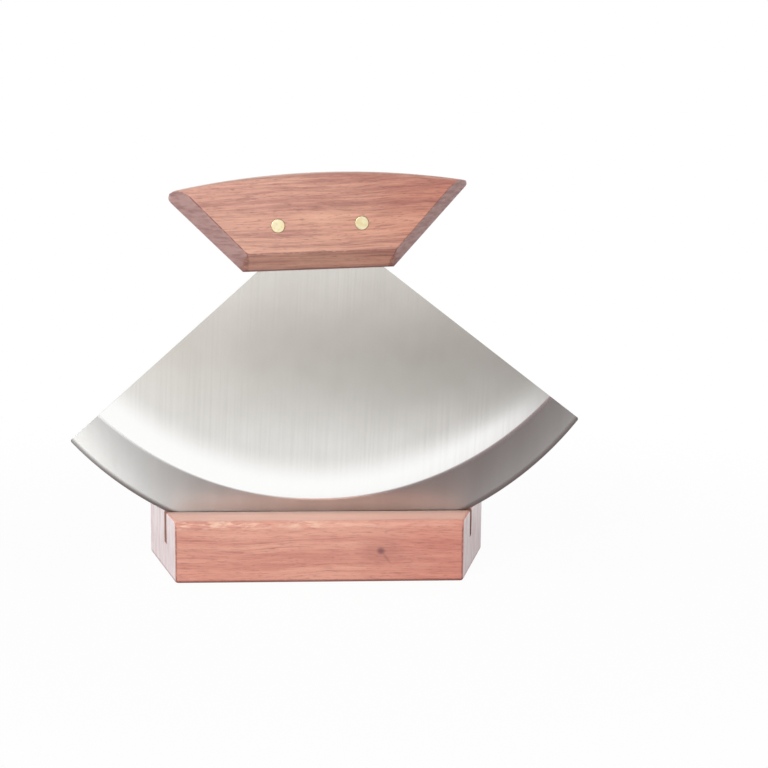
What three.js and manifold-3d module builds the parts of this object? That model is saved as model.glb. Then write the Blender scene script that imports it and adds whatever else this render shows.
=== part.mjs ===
// Ulu: a fan-shaped slicing knife, standing edge down in the slot of its wooden display stand.
// Sizes are in millimetres and angles in degrees. +Z is up, X runs along the blade, and Y from
// the front to the back. The origin is the middle of the stand's underside.

import * as THREE from 'three';
import { ConvexGeometry } from 'three/addons/geometries/ConvexGeometry.js';
import { mergeVertices } from 'three/addons/utils/BufferGeometryUtils.js';
import Module from 'manifold-3d';

const wasm = await Module();
wasm.setup();

// Blade: a sector of a round steel sheet, ground hollow on its front face down to the curved edge
const bladeRadius = 101.6;
const bladeHalfAngle = 50.2;
const bladeThickness = 1.6;
const bladeTipRadius = 0.8;
const grindWidthAtMiddle = 15.1;
const grindWidthAtSides = 11.8;
const grindHollow = 0.6; // 0 is a flat bevel, 1 runs out level with the back face
const edgeBevelWidth = 0.9;
const edgeBevelThickness = 0.4; // sheet left where the edge bevel starts
const edgeThickness = 0.1;

// Tang: the tab of the blade that the handle hides
const tangShoulder = 1.6;
const tangLength = 20;
const tangCornerRadius = 3;

// Pins: two brass rods through the handle and the tang
const pinDiameter = 4;
const pinFromTangSide = 5.05;
const pinFromTangTop = 6.45;

// Handle: a crowned block with slanting ends, chamfered by hand round its front and back faces,
// and a slot from below for the tang
const handleSeat = 15.5; // centre of the blade's arc down to the handle's underside
const handleHeight = 28.55;
const handleThickness = 19;
const handleOverhang = 3.55; // past the blade's neck at each end
const handleShift = -0.8; // middle of the handle from the middle of the blade
const handleEndAngle = 46.1;
const handleCrownRadius = 246;
const handleCrownShift = 1.9; // top of the crown from the middle of the blade
const handleTopRound = 2.5;
const handleTipRadiusLeft = 2;
const handleTipRadiusRight = 1.1;
const handleChamferDepth = 5.3; // into the thickness at the underside, from each face
const handleBottomChamfer = 5.3; // up each face
const handleFaceAngle = 47.2; // lean of each face's ends, inside the chamfers
const handleEndChamferLeft = 4.9; // across each face at the underside, square to its end
const handleEndChamferRight = 3.2;

// Stand: a low block, longer at the back than at the front, with a saw slot along it
const standFrontLength = 86.6;
const standDepth = 38;
const standHeight = 19;
const standTopRound = 2;
const standBottomRound = 1;
const standCornerRound = 0.8;
const standEndBevel = 15.6;
const slotFromFront = 13;
const slotWidth = 3.2;
const slotDepth = 11.5;

// Shared by the pieces
const knifeRock = 2.4; // how far the knife has rolled on its edge in the slot
const knifeShift = -0.4; // middle of the blade from the middle of the stand, along the slot
const clearance = 0.3;

// Facets
const edgeSteps = 30; // over half of the blade's edge
const hollowSteps = 6;
const crownSteps = 360; // over a full turn
const roundSteps = 5;
const pinSides = 32;

// Overlap that lets one solid cut cleanly through another
const overrun = 1;

const radians = THREE.MathUtils.degToRad;
const half = radians(bladeHalfAngle);
const bladeFront = -bladeThickness / 2;
const bladeBack = bladeThickness / 2;
const shoulderZ = -handleSeat - clearance;
const neckHalf = -shoulderZ * Math.tan(half);
const tangHalf = neckHalf - tangShoulder;
const tangTop = tangLength - handleSeat;
const pinX = tangHalf - pinFromTangSide;
const pinZ = tangTop - pinFromTangTop;
const boreRadius = pinDiameter / 2 + clearance;

function arcPoints(x, y, radius, from, to, steps) {
  return new THREE.EllipseCurve(x, y, radius, radius, from, to).getPoints(steps);
}

// Outline through the given corners, each one [x, y, radius], turning counter-clockwise
function roundedOutline(corners) {
  const points = [];
  corners.forEach(([x, y, radius], i) => {
    const corner = new THREE.Vector2(x, y);
    if (radius === 0) {
      points.push(corner);
      return;
    }
    const before = corners[(i + corners.length - 1) % corners.length];
    const after = corners[(i + 1) % corners.length];
    const heading = new THREE.Vector2(x - before[0], y - before[1]).angle();
    const turn = new THREE.Vector2(after[0] - x, after[1] - y).angle() - heading;
    const bend = THREE.MathUtils.euclideanModulo(turn, 2 * Math.PI);
    const reach = radius / Math.cos(bend / 2);
    const middle = heading + bend / 2 + Math.PI / 2;
    const centreX = x + reach * Math.cos(middle);
    const centreY = y + reach * Math.sin(middle);
    const from = heading - Math.PI / 2;
    points.push(...arcPoints(centreX, centreY, radius, from, from + bend, roundSteps));
  });
  return points;
}

function extrude(points, depth, steps = 1) {
  const shape = new THREE.Shape(points);
  return new THREE.ExtrudeGeometry(shape, { depth, steps, bevelEnabled: false });
}

// An outline drawn in X and Z, with its thickness centred on the plane Y = 0
function upright(points, thickness) {
  const geometry = extrude(points, thickness);
  geometry.rotateX(Math.PI / 2);
  geometry.translate(0, thickness / 2, 0);
  return geometry;
}

// A section drawn in Y and Z, with its length centred on the plane X = 0
function lengthwise(points, length) {
  const geometry = extrude(points, length);
  geometry.translate(0, 0, -length / 2);
  const alongX = new THREE.Vector3(1, 0, 0);
  const alongY = new THREE.Vector3(0, 1, 0);
  const alongZ = new THREE.Vector3(0, 0, 1);
  geometry.applyMatrix4(new THREE.Matrix4().makeBasis(alongY, alongZ, alongX));
  return geometry;
}

function mapPoints(geometry, map) {
  const position = geometry.attributes.position;
  const point = new THREE.Vector3();
  for (let i = 0; i < position.count; i += 1) {
    point.fromBufferAttribute(position, i);
    map(point);
    position.setXYZ(i, point.x, point.y, point.z);
  }
  return geometry;
}

function solid(geometry) {
  geometry.deleteAttribute('normal');
  geometry.deleteAttribute('uv');
  const merged = mergeVertices(geometry);
  const vertProperties = new Float32Array(merged.attributes.position.array);
  const triVerts = new Uint32Array(merged.index.array);
  return new wasm.Manifold(new wasm.Mesh({ numProp: 3, vertProperties, triVerts }));
}

function mesh(name, manifold, material) {
  const { vertProperties, triVerts } = manifold.getMesh();
  const geometry = new THREE.BufferGeometry();
  geometry.setAttribute('position', new THREE.BufferAttribute(vertProperties, 3));
  geometry.setIndex(new THREE.BufferAttribute(triVerts, 1));
  geometry.computeVertexNormals();
  const result = new THREE.Mesh(geometry, material);
  result.name = name;
  return result;
}

// The upper end of a tab whose two top corners are round, from its right side to its left
function tabTop(halfWidth, topZ, radius) {
  const centreX = halfWidth - radius;
  const centreZ = topZ - radius;
  return [
    ...arcPoints(centreX, centreZ, radius, 0, Math.PI / 2, roundSteps),
    ...arcPoints(-centreX, centreZ, radius, Math.PI / 2, Math.PI, roundSteps),
  ];
}

function pinBores() {
  const bores = [-pinX, pinX].map((x) => {
    const bore = new THREE.CylinderGeometry(
      boreRadius, boreRadius, handleThickness + 2 * overrun, pinSides);
    bore.translate(x, 0, pinZ);
    return solid(bore);
  });
  return bores[0].add(bores[1]);
}

// Blade, drawn about the centre of its arc. An angle counts from straight down, to the right.

function fanPoint(radius, angle) {
  return new THREE.Vector2(radius * Math.sin(angle), -radius * Math.cos(angle));
}

function bladeOutline() {
  const tipAngle = half - Math.asin(bladeTipRadius / (bladeRadius - bladeTipRadius));
  const tipCentre = fanPoint(bladeRadius - bladeTipRadius, tipAngle);
  const down = -Math.PI / 2;
  const tip = arcPoints(tipCentre.x, tipCentre.y, bladeTipRadius, down + tipAngle, half, roundSteps);
  const edge = [];
  for (let i = -edgeSteps; i <= edgeSteps; i += 1) {
    const angle = i * half / edgeSteps;
    if (Math.abs(angle) < tipAngle) {
      edge.push(fanPoint(bladeRadius, angle));
    }
  }
  const mirrored = tip.map((point) => new THREE.Vector2(-point.x, point.y)).reverse();
  return [
    ...mirrored,
    ...edge,
    ...tip,
    new THREE.Vector2(neckHalf, shoulderZ),
    new THREE.Vector2(tangHalf, shoulderZ),
    ...tabTop(tangHalf, tangTop, tangCornerRadius),
    new THREE.Vector2(-tangHalf, shoulderZ),
    new THREE.Vector2(-neckHalf, shoulderZ),
  ];
}

// The grind line is an arc through the grind's middle and its two ends on the blade's sides
const grindLow = bladeRadius - grindWidthAtMiddle;
const grindSide = bladeRadius - grindWidthAtSides;
const grindCentreZ = (grindSide ** 2 - grindLow ** 2) / (2 * (grindLow - grindSide * Math.cos(half)));
const grindRadius = grindLow + grindCentreZ;

function grindLine(angle) {
  const across = grindCentreZ * Math.sin(angle);
  return Math.sqrt(grindRadius ** 2 - across ** 2) - grindCentreZ * Math.cos(angle);
}

// Solid that is ground away. Its section runs from 0 at the grind line, over 1 at the start of
// the edge bevel, to 2 at the edge, and is bent round the blade.
function grindCutter() {
  const hollowDepth = bladeThickness - edgeBevelThickness;
  const edgeDrop = edgeBevelThickness - edgeThickness;
  const section = [];
  for (let i = -1; i <= hollowSteps; i += 1) {
    const share = i / hollowSteps;
    const depth = hollowDepth * ((1 + grindHollow) * share - grindHollow * share ** 2);
    section.push(new THREE.Vector2(share, bladeFront + depth));
  }
  const past = 1 + overrun;
  section.push(new THREE.Vector2(1 + past, bladeBack - edgeBevelThickness + past * edgeDrop));
  section.push(new THREE.Vector2(1 + past, bladeFront - overrun));
  section.push(new THREE.Vector2(section[0].x, bladeFront - overrun));
  const spanSteps = edgeSteps + 2;
  const geometry = extrude(section, 2 * spanSteps, 2 * spanSteps);
  return solid(mapPoints(geometry, (point) => {
    const angle = (point.z - spanSteps) * half / edgeSteps;
    const start = grindLine(angle);
    const bevelStart = bladeRadius - edgeBevelWidth;
    const inHollow = Math.min(point.x, 1);
    const inBevel = Math.max(point.x - 1, 0);
    const radius = start + inHollow * (bevelStart - start) + inBevel * edgeBevelWidth;
    const place = fanPoint(radius, angle);
    point.set(place.x, point.y, place.y);
  }));
}

function blade() {
  const plate = solid(upright(bladeOutline(), bladeThickness));
  return plate.subtract(grindCutter()).subtract(pinBores());
}

// Handle, drawn about the centre of the blade's arc

// The tip where an end meets the crown, rounded, from the end to the crown
function handleTip(foot, radius, crown) {
  const endAngle = radians(handleEndAngle);
  const along = new THREE.Vector2(Math.cos(endAngle), Math.sin(endAngle));
  const outward = new THREE.Vector2(Math.sin(endAngle), -Math.cos(endAngle));
  const start = foot.clone().addScaledVector(outward, -radius);
  const fromCrown = start.clone().sub(crown);
  const reach = handleCrownRadius - radius;
  const ahead = fromCrown.dot(along);
  const travel = Math.sqrt(ahead ** 2 - fromCrown.lengthSq() + reach ** 2) - ahead;
  const centre = start.addScaledVector(along, travel);
  const from = Math.atan2(outward.y, outward.x);
  const to = Math.atan2(centre.y - crown.y, centre.x - crown.x);
  return arcPoints(centre.x, centre.y, radius, from, to, roundSteps);
}

function handle() {
  const bottomZ = -handleSeat;
  const topZ = bottomZ + handleHeight;
  const crownZ = topZ - handleCrownRadius;
  const clearTop = topZ + overrun;
  const front = -handleThickness / 2;
  const back = handleThickness / 2;

  // The crown and its rounded edges are turned about an axis far below the handle
  const inner = handleCrownRadius - 2 * handleHeight;
  const ringSection = roundedOutline([
    [inner, front, 0],
    [handleCrownRadius, front, handleTopRound],
    [handleCrownRadius, back, handleTopRound],
    [inner, back, 0],
  ]);
  ringSection.push(ringSection[0].clone());
  const ring = new THREE.LatheGeometry(ringSection, crownSteps);
  ring.translate(handleCrownShift, 0, crownZ);

  // The chamfers' planes, from each face inwards past the block's outline
  const faceAngle = radians(handleFaceAngle);
  const faceLean = 1 / Math.tan(faceAngle);
  const footHalf = neckHalf + handleOverhang;
  const endChamfers = [[-1, handleEndChamferLeft], [1, handleEndChamferRight]];
  const corners = [];
  const addCorners = (y, share) => {
    for (const [side, endChamfer] of endChamfers) {
      const inset = share * endChamfer / Math.sin(faceAngle);
      for (const z of [bottomZ + share * handleBottomChamfer, clearTop]) {
        const reach = footHalf + faceLean * (z - bottomZ) - inset;
        corners.push(new THREE.Vector3(handleShift + side * reach, y, z));
      }
    }
  };
  const deepest = handleThickness / 2 - overrun;
  const deepestShare = 1 - deepest / handleChamferDepth;
  addCorners(front, 1);
  addCorners(front + deepest, deepestShare);
  addCorners(back - deepest, deepestShare);
  addCorners(back, 1);
  const block = new ConvexGeometry(corners);

  const rightFoot = new THREE.Vector2(footHalf + handleShift, bottomZ);
  const leftFoot = new THREE.Vector2(footHalf - handleShift, bottomZ);
  const crown = new THREE.Vector2(handleCrownShift, crownZ);
  const mirroredCrown = new THREE.Vector2(-handleCrownShift, crownZ);
  const rightTip = handleTip(rightFoot, handleTipRadiusRight, crown);
  const leftTip = handleTip(leftFoot, handleTipRadiusLeft, mirroredCrown);
  const mirrored = leftTip.map((point) => new THREE.Vector2(-point.x, point.y)).reverse();
  const outline = upright([
    new THREE.Vector2(-leftFoot.x, bottomZ),
    rightFoot,
    ...rightTip,
    new THREE.Vector2(rightTip.at(-1).x, clearTop),
    new THREE.Vector2(mirrored[0].x, clearTop),
    ...mirrored,
  ], handleThickness + 2 * overrun);

  const slotHalf = tangHalf + clearance;
  const slot = upright([
    new THREE.Vector2(-slotHalf, bottomZ - overrun),
    new THREE.Vector2(slotHalf, bottomZ - overrun),
    ...tabTop(slotHalf, tangTop + clearance, tangCornerRadius + clearance),
  ], bladeThickness + 2 * clearance);

  return solid(ring)
    .intersect(solid(block))
    .intersect(solid(outline))
    .subtract(solid(slot))
    .subtract(pinBores());
}

function pin(side) {
  const radius = pinDiameter / 2;
  const rod = new THREE.CylinderGeometry(radius, radius, handleThickness, pinSides);
  rod.translate(side * pinX, 0, pinZ);
  return solid(rod);
}

// Stand, drawn in place

const standFront = -standDepth / 2;
const slotY = standFront + slotFromFront;
const slotFloor = standHeight - slotDepth;

function stand() {
  const back = standDepth / 2;
  const backHalf = standFrontLength / 2 + standDepth * Math.tan(radians(standEndBevel));
  const section = roundedOutline([
    [standFront, 0, standBottomRound],
    [back, 0, standBottomRound],
    [back, standHeight, standTopRound],
    [slotY + slotWidth / 2, standHeight, 0],
    [slotY + slotWidth / 2, slotFloor, 0],
    [slotY - slotWidth / 2, slotFloor, 0],
    [slotY - slotWidth / 2, standHeight, 0],
    [standFront, standHeight, standTopRound],
  ]);
  const bar = lengthwise(section, 2 * backHalf + 2 * overrun);
  const plan = extrude(roundedOutline([
    [-standFrontLength / 2, standFront, standCornerRound],
    [standFrontLength / 2, standFront, standCornerRound],
    [backHalf, back, standCornerRound],
    [-backHalf, back, standCornerRound],
  ]), standHeight + 2 * overrun);
  plan.translate(0, 0, -overrun);
  return solid(bar).intersect(solid(plan));
}

// Finishes, one material for each piece
const wood = (color) => new THREE.MeshStandardMaterial({ color, roughness: 0.5, metalness: 0 });
const steel = new THREE.MeshStandardMaterial({ color: 0xc8c4be, roughness: 0.35, metalness: 1 });
const brass = () => new THREE.MeshStandardMaterial({ color: 0xe6cf9b, roughness: 0.3, metalness: 1 });

// The knife rolls on its edge about the centre of the arc, so it touches the slot's floor at
// any angle.
const knife = new THREE.Group();
knife.position.set(knifeShift, slotY, slotFloor + clearance + bladeRadius);
knife.rotation.y = -radians(knifeRock);
knife.add(mesh('handle', handle(), wood(0xc08773)));
knife.add(mesh('blade', blade(), steel));
knife.add(mesh('pin_left', pin(-1), brass()));
knife.add(mesh('pin_right', pin(1), brass()));

const ulu = new THREE.Group();
ulu.add(mesh('stand', stand(), wood(0xc4826f)));
ulu.add(knife);

export default ulu;
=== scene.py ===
import math
from dataclasses import dataclass

import bpy
from mathutils import Matrix, Vector


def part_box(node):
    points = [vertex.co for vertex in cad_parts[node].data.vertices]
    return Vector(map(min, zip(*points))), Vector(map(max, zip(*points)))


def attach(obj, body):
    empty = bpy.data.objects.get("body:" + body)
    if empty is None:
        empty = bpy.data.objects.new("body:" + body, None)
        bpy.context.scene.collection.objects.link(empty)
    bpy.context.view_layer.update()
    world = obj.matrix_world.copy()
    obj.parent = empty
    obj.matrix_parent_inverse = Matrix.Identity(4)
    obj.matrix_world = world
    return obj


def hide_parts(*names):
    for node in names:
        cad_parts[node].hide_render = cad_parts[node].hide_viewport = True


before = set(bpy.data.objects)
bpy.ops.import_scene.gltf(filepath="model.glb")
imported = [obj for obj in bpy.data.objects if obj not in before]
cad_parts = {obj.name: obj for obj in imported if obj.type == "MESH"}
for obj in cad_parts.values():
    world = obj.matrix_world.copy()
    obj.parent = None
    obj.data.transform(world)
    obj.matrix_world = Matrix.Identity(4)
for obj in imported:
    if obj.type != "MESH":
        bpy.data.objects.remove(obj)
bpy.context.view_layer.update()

MM = 0.001

# The blade, about the middle of its curved edge's circle.
BLADE_RADIUS = 101.6 * MM
BLADE_HALF_ANGLE = math.radians(50.2)
BLADE_THICKNESS = 1.6 * MM
BLADE_TIP_RADIUS = 0.8 * MM
GRIND_AT_MIDDLE = 15.1 * MM
GRIND_AT_SIDES = 11.8 * MM
GRIND_DEPTH = 1.2 * MM
GRIND_HOLLOW = 0.85
CREASE_ROUND = 0.45 * MM
BUFFED_BAND = 8.0 * MM
BUFFED_TILT = math.radians(1.6)
EDGE_BEVEL_WIDTH = 0.9 * MM
EDGE_THICKNESS = 0.1 * MM
SHOULDER_HEIGHT = -15.8 * MM
TANG_SHOULDER = 1.6 * MM
TANG_TOP = 4.5 * MM
TANG_CORNER_RADIUS = 3.0 * MM
TANG_THINNING = 0.04 * MM

# The handle, about the same middle.
HANDLE_SEAT = -15.5 * MM
HANDLE_HEIGHT = 28.55 * MM
HANDLE_THICKNESS = 19.0 * MM
HANDLE_OVERHANG = 3.55 * MM
HANDLE_SHIFT = -0.8 * MM
HANDLE_END_ANGLE = math.radians(46.1)
HANDLE_FACE_ANGLE = math.radians(47.2)
HANDLE_CROWN_RADIUS = 246.0 * MM
HANDLE_CROWN_SHIFT = 1.9 * MM
HANDLE_TOP_ROUND = 2.5 * MM
HANDLE_TIP_RADIUS = {-1: 2.0 * MM, 1: 1.1 * MM}
HANDLE_CHAMFER_DEPTH = 5.3 * MM
HANDLE_BOTTOM_CHAMFER = 5.3 * MM
HANDLE_END_CHAMFER = {-1: 4.9 * MM, 1: 3.2 * MM}
HANDLE_SOFT_EDGE = 0.5 * MM
HANDLE_EDGE_EASE = 0.35 * MM
SLOT_GAP = 0.3 * MM
PIN_RADIUS = 2.0 * MM
PIN_GAP = 0.07 * MM
PIN_RIM_EASE = 0.16 * MM
PIN_HEIGHT = -1.95 * MM

# The stand, from the frame and a few values of its own.
STAND_FRONT_HALF = 43.3 * MM
STAND_END_BEVEL = math.radians(15.6)
STAND_TOP_ROUND = 2.0 * MM
STAND_BOTTOM_ROUND = 1.0 * MM
STAND_CORNER_ROUND = 0.8 * MM
KERF_FROM_FRONT = 13.0 * MM
KERF_WIDTH = 3.2 * MM
KERF_DEPTH = 11.5 * MM
KERF_END_RISE = {-1: 1.5 * MM, 1: 3.0 * MM}
KERF_LEAN = 1.15 * MM
STAND_BLANK_HALF = 50.0 * MM

# How finely the pieces are divided.
HANDLE_FACE_COLUMNS = 72
HANDLE_FACE_ROWS = 22
HANDLE_ROUND_STEPS = 10
EASE_SHARES = (0, 0.08, 0.28, 0.58, 1)
CHAMFER_SHARES = (0.3, 0.6, 0.85)
SOFT_SHARES = (-1, -0.6, -0.3, 0, 0.3, 0.6, 1)
BLADE_COLUMNS = 180
BLADE_FACE_ROWS = 6
BLADE_BAND_ROWS = 9
BLADE_HOLLOW_ROWS = 16
STAND_LENGTHS = 24
KERF_LENGTHS = 48
PIN_SIDES = 64
HANDLE_BORE_SIDES = 64
BLADE_BORE_SIDES = 48

# Edges that turn less than these angles are shaded smooth.
WOOD_SMOOTH = math.radians(32)
BRASS_SMOOTH = math.radians(40)
STEEL_SMOOTH = math.radians(25)
FLAT_FACE_WEIGHT = 60

OVERLAP = 2.0 * MM
TINY = 0.01 * MM
WELD = TINY * 0.1
POINT_ROUNDS = 8
TIP_ROUNDS = 20
ANGLE_SLACK = 1e-4


# Hand tools.


def pick(piece):
    """Makes one piece the selected and active one."""
    if bpy.context.mode != "OBJECT":
        bpy.ops.object.mode_set(mode="OBJECT")
    bpy.ops.object.select_all(action="DESELECT")
    piece.select_set(True)
    bpy.context.view_layer.objects.active = piece


def clear_bench():
    """Deselects everything, so that a new primitive is alone."""
    bpy.ops.object.select_all(action="DESELECT")


def take(name):
    """Names the primitive that was just added, and settles its place into its mesh."""
    piece = bpy.context.object
    piece.name = name
    piece.data.name = name
    bpy.ops.object.transform_apply(location=True, rotation=True, scale=True)
    return piece


def block(name, low, high):
    """A block between two corners."""
    clear_bench()
    low, high = Vector(low), Vector(high)
    bpy.ops.mesh.primitive_cube_add(size=1, location=(low + high) / 2, scale=high - low)
    return take(name)


def rod(name, place, radius, length, sides):
    """A round rod that lies from front to back."""
    clear_bench()
    bpy.ops.mesh.primitive_cylinder_add(
        vertices=sides,
        radius=radius,
        depth=length,
        location=place,
        rotation=(math.radians(90), 0, 0),
    )
    return take(name)


def select_edges(piece, wanted):
    """Opens a piece with the edges selected whose two ends are as wanted."""
    pick(piece)
    bpy.context.tool_settings.mesh_select_mode = (False, True, False)
    bpy.ops.object.mode_set(mode="EDIT")
    bpy.ops.mesh.select_all(action="DESELECT")
    bpy.ops.object.mode_set(mode="OBJECT")
    points = piece.data.vertices
    for edge in piece.data.edges:
        a, b = edge.vertices
        edge.select = wanted(points[a].co, points[b].co)
    bpy.ops.object.mode_set(mode="EDIT")


def ease_edges(piece, wanted, width, segments):
    """Rounds or chamfers the edges that are wanted."""
    select_edges(piece, wanted)
    bpy.ops.mesh.bevel(
        offset_type="OFFSET",
        offset=width,
        segments=segments,
        profile=0.5,
        affect="EDGES",
        clamp_overlap=True,
    )
    bpy.ops.object.mode_set(mode="OBJECT")


def open_all(piece):
    """Opens a piece with everything selected."""
    pick(piece)
    bpy.ops.object.mode_set(mode="EDIT")
    bpy.ops.mesh.select_all(action="SELECT")


def double(piece):
    """Makes a sheet into a slab with a near and a far face."""
    open_all(piece)
    bpy.ops.mesh.extrude_region_move(TRANSFORM_OT_translate={"value": (0, 0, 1)})
    bpy.ops.object.mode_set(mode="OBJECT")


def turn_outwards(piece, weld=0.0):
    """Turns the faces outwards, with points closer than the weld made one."""
    open_all(piece)
    if weld:
        bpy.ops.mesh.remove_doubles(threshold=weld)
    bpy.ops.mesh.normals_make_consistent(inside=False)
    bpy.ops.object.mode_set(mode="OBJECT")


def mark_lines(piece, half_length, count):
    """Cuts a block across into equal lengths, without taking anything off."""
    for step in range(1, count):
        place = half_length * (2 * step / count - 1)
        open_all(piece)
        bpy.ops.mesh.bisect(plane_co=(place, 0, 0), plane_no=(1, 0, 0))
    bpy.ops.object.mode_set(mode="OBJECT")


def saw_off(piece, place, outward):
    """Saws off what lies beyond a plane and closes the cut."""
    open_all(piece)
    bpy.ops.mesh.bisect(
        plane_co=place, plane_no=outward, use_fill=True, clear_outer=True
    )
    bpy.ops.object.mode_set(mode="OBJECT")


def combine(piece, tool, operation):
    """Cuts a tool out of a piece, or joins it on, and puts the tool away."""
    pick(piece)
    cut = piece.modifiers.new("cut", "BOOLEAN")
    cut.operation = operation
    cut.solver = "EXACT"
    cut.object = tool
    bpy.ops.object.modifier_apply(modifier=cut.name)
    bpy.data.objects.remove(tool)


def smooth(piece, angle):
    """Turns the faces outwards and shades the rounded edges smooth."""
    turn_outwards(piece, WELD)
    bpy.ops.object.shade_smooth_by_angle(angle=angle)
    even = piece.modifiers.new("even", "WEIGHTED_NORMAL")
    even.keep_sharp = True
    even.weight = FLAT_FACE_WEIGHT
    bpy.ops.object.modifier_apply(modifier=even.name)


# Where the knife stands, from the two pins of the frame.


def middle(node):
    """Middle of a solid of the frame."""
    low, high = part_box(node)
    return (low + high) / 2


left_pin, right_pin = middle("pin_left"), middle("pin_right")
pin_line = right_pin - left_pin
KNIFE_ROCK = math.atan2(pin_line.z, pin_line.x)
PIN_HALF_SPACING = pin_line.length / 2
KNIFE_TURN = Matrix.Rotation(-KNIFE_ROCK, 4, "Y")
KNIFE_MIDDLE = (left_pin + right_pin) / 2 - KNIFE_TURN @ Vector((0, 0, PIN_HEIGHT))


def stand_in_kerf(piece):
    """Takes a piece of the knife from the bench to its place in the stand."""
    pick(piece)
    piece.location = KNIFE_MIDDLE
    piece.rotation_euler = (0, -KNIFE_ROCK, 0)
    bpy.ops.object.transform_apply(location=True, rotation=True, scale=True)


# The handle.

NECK_HALF = -SHOULDER_HEIGHT * math.tan(BLADE_HALF_ANGLE)
HANDLE_FRONT = -HANDLE_THICKNESS / 2
HANDLE_CREST = HANDLE_SEAT + HANDLE_HEIGHT
HANDLE_CROWN_MIDDLE = HANDLE_CREST - HANDLE_CROWN_RADIUS
HANDLE_FOOT = NECK_HALF + HANDLE_OVERHANG
END_SINE, END_COSINE = math.sin(HANDLE_END_ANGLE), math.cos(HANDLE_END_ANGLE)
FACE_SINE, FACE_COSINE = math.sin(HANDLE_FACE_ANGLE), math.cos(HANDLE_FACE_ANGLE)


def handle_end(side, height):
    """Where the handle's left or right end lies at a height."""
    lean = END_COSINE / END_SINE
    return HANDLE_SHIFT + side * (HANDLE_FOOT + lean * (height - HANDLE_SEAT))


def past_chamfer(side, x, z):
    """Distance of a point from where the end chamfer would reach its full depth."""
    lean = FACE_COSINE / FACE_SINE
    foot = HANDLE_SHIFT + side * (HANDLE_FOOT + lean * (z - HANDLE_SEAT))
    return side * (foot - x) * FACE_SINE


def chamfer_width(side, height):
    """Width of the end chamfer along the handle, at a height."""
    end = handle_end(side, height)
    return (HANDLE_END_CHAMFER[side] - past_chamfer(side, end, height)) / FACE_SINE


def crown(across):
    """Height of the crowned top."""
    off = across - HANDLE_CROWN_SHIFT
    return HANDLE_CROWN_MIDDLE + math.sqrt(HANDLE_CROWN_RADIUS**2 - off * off)


def edge_steps(width):
    """Distances from an outer edge across a chamfer and just past it."""
    ease, soft = HANDLE_EDGE_EASE, HANDLE_SOFT_EDGE
    steps = [ease * share for share in EASE_SHARES]
    inner = width - soft
    steps += [ease + (inner - ease) * share for share in CHAMFER_SHARES]
    return steps + [width + soft * share for share in SOFT_SHARES]


EDGE_COUNT = len(edge_steps(1))


def handle_columns():
    """Columns from the left end to the right one: which end, and the step or share."""
    left = [("left", k) for k in range(EDGE_COUNT)]
    count = HANDLE_FACE_COLUMNS
    face = [("face", k / count) for k in range(1, count)]
    right = [("right", k) for k in reversed(range(EDGE_COUNT))]
    return left + face + right


def handle_rows():
    """Rows from the underside to the crown: measured from which one, and how far."""
    bottom = [("bottom", d) for d in edge_steps(HANDLE_BOTTOM_CHAMFER)]
    steps = HANDLE_ROUND_STEPS
    turn = [math.pi / 2 * k / steps for k in range(steps + 1)]
    top = [("top", HANDLE_TOP_ROUND * (1 - math.sin(angle))) for angle in turn]
    ease = [("top", HANDLE_EDGE_EASE * share) for share in EASE_SHARES[3:1:-1]]
    top = sorted(top + ease, key=lambda row: -row[1])
    count = HANDLE_FACE_ROWS
    face = [("face", k / count) for k in range(1, count)]
    return bottom + face + top


def handle_point(column, row):
    """Place of a column and a row on the handle, before its tips are rounded."""
    zone, step = column
    x, z = 0.0, 0.0
    for _ in range(POINT_ROUNDS):
        if row[0] == "bottom":
            z = HANDLE_SEAT + row[1]
        elif row[0] == "top":
            z = crown(x) - row[1]
        else:
            low = HANDLE_SEAT + HANDLE_BOTTOM_CHAMFER + HANDLE_SOFT_EDGE
            z = low + (crown(x) - HANDLE_TOP_ROUND - low) * row[1]
        left = edge_steps(chamfer_width(-1, z))
        right = edge_steps(chamfer_width(1, z))
        if zone == "left":
            x = handle_end(-1, z) + left[step]
        elif zone == "right":
            x = handle_end(1, z) - right[step]
        else:
            low, high = handle_end(-1, z) + left[-1], handle_end(1, z) - right[-1]
            x = low + (high - low) * step
    return x, z


def softer(a, b):
    """The larger of two depths, with the corner between them rubbed round."""
    near = max(HANDLE_SOFT_EDGE - abs(a - b), 0) / HANDLE_SOFT_EDGE
    return max(a, b) + near * near * HANDLE_SOFT_EDGE / 4


def eased(distance, radius):
    """How far a rounded edge falls back, by the distance from the outline."""
    rest = radius - min(max(distance, 0), radius)
    return radius - math.sqrt(radius * radius - rest * rest)


def handle_depth(x, z):
    """How far the front of the handle lies behind its flat face."""
    low, high = z - HANDLE_SEAT, crown(x) - z
    depth = 0.0
    for side in (-1, 1):
        inwards = past_chamfer(side, x, z) / HANDLE_END_CHAMFER[side]
        depth = softer(depth, HANDLE_CHAMFER_DEPTH * (1 - inwards))
    depth = softer(depth, HANDLE_CHAMFER_DEPTH * (1 - low / HANDLE_BOTTOM_CHAMFER))
    depth = max(depth, eased(high, HANDLE_TOP_ROUND))
    left = (x - handle_end(-1, z)) * END_SINE
    right = (handle_end(1, z) - x) * END_SINE
    return depth + eased(min(left, right, low, high), HANDLE_EDGE_EASE)


def handle_tip(side):
    """Middle of a rounded tip, and the ways its end and its crown face."""
    radius = HANDLE_TIP_RADIUS[side]
    out = Vector((side * END_SINE, -END_COSINE))
    z = 0.0
    for _ in range(TIP_ROUNDS):
        x = handle_end(side, z) - side * radius / END_SINE
        off, inner = x - HANDLE_CROWN_SHIFT, HANDLE_CROWN_RADIUS - radius
        z = HANDLE_CROWN_MIDDLE + math.sqrt(inner * inner - off * off)
    up = Vector((off, z - HANDLE_CROWN_MIDDLE)).normalized()
    return Vector((x, z)), out, up


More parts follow.
